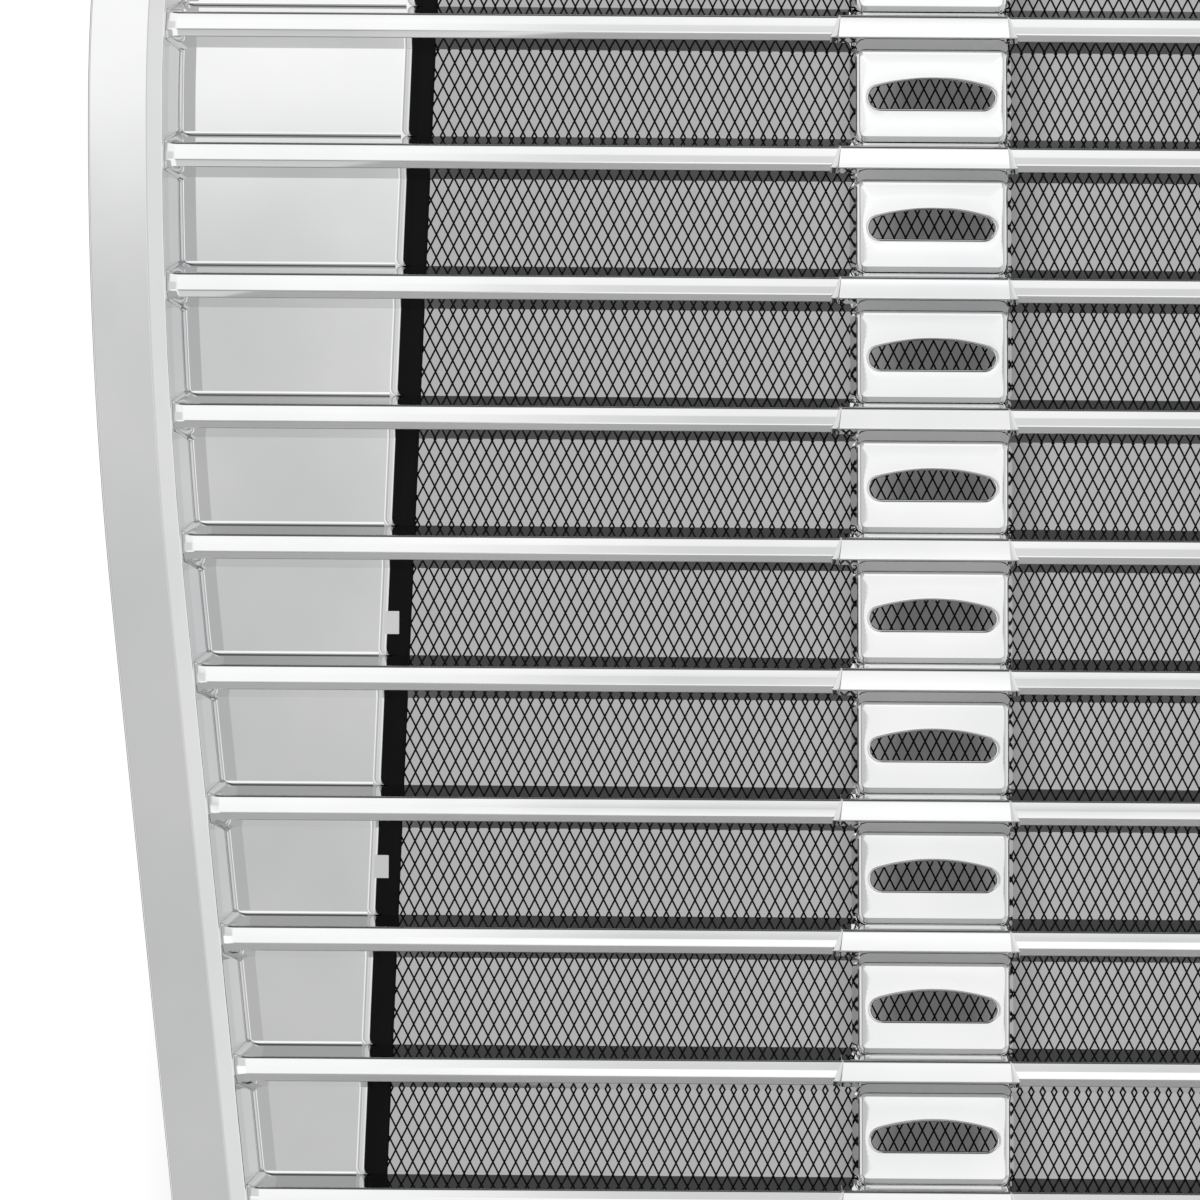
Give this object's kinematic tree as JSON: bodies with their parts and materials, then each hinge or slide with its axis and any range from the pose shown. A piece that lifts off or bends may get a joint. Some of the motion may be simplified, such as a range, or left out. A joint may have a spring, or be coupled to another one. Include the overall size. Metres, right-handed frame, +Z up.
{
  "type": "front grille",
  "caption": "Wide chrome truck grille: tapered surround, horizontal bars, two slotted vertical columns, closed side panels and a black expanded-metal bug screen behind.",
  "frame": {"origin": "middle of the flat mounting pad behind the top rail", "axes": "+X across the truck towards the viewer's right when seen from the front, -Y forwards out of the grille's face, +Z up"},
  "size_m": [1.184, 0.078, 0.8188],
  "materials": {
    "surround_chrome": "bright chrome plate on moulded plastic",
    "bar_chrome": "bright chrome plate on moulded plastic",
    "cover_chrome": "bright chrome plate on moulded plastic",
    "panel_chrome": "bright chrome plate on moulded plastic, faintly hazed",
    "black_mesh": "black powder coat, satin",
    "black_strip": "black powder coat, satin",
    "spring_steel": "zinc plated spring steel",
    "zinc_stud": "zinc plated steel"
  },
  "bodies": {
    "root": {"bar_01": "bar_chrome", "bar_02": "bar_chrome", "bar_03": "bar_chrome", "bar_04": "bar_chrome", "bar_05": "bar_chrome", "bar_06": "bar_chrome", "bar_07": "bar_chrome", "bar_08": "bar_chrome", "bar_09": "bar_chrome", "bar_10": "bar_chrome", "bug_screen": "black_mesh", "column_cover_left_01": "cover_chrome", "column_cover_left_02": "cover_chrome", "column_cover_left_03": "cover_chrome", "column_cover_left_04": "cover_chrome", "column_cover_left_05": "cover_chrome", "column_cover_left_06": "cover_chrome", "column_cover_left_07": "cover_chrome", "column_cover_left_08": "cover_chrome", "column_cover_left_09": "cover_chrome", "column_cover_left_10": "cover_chrome", "column_cover_left_11": "cover_chrome", "column_cover_right_01": "cover_chrome", "column_cover_right_02": "cover_chrome", "column_cover_right_03": "cover_chrome", "column_cover_right_04": "cover_chrome", "column_cover_right_05": "cover_chrome", "column_cover_right_06": "cover_chrome", "column_cover_right_07": "cover_chrome", "column_cover_right_08": "cover_chrome", "column_cover_right_09": "cover_chrome", "column_cover_right_10": "cover_chrome", "column_cover_right_11": "cover_chrome", "mounting_stud_bottom_1": "zinc_stud", "mounting_stud_bottom_2": "zinc_stud", "mounting_stud_top_1": "zinc_stud", "mounting_stud_top_2": "zinc_stud", "mounting_stud_top_3": "zinc_stud", "mounting_stud_top_4": "zinc_stud", "screen_strip_bottom": "black_strip", "screen_strip_left": "black_strip", "screen_strip_right": "black_strip", "screen_strip_top": "black_strip", "side_panel_left": "panel_chrome", "side_panel_right": "panel_chrome", "spring_clip_left_1": "spring_steel", "spring_clip_left_2": "spring_steel", "spring_clip_left_3": "spring_steel", "spring_clip_right_1": "spring_steel", "spring_clip_right_2": "spring_steel", "spring_clip_right_3": "spring_steel", "surround_frame": "surround_chrome"}
  },
  "joints": []
}
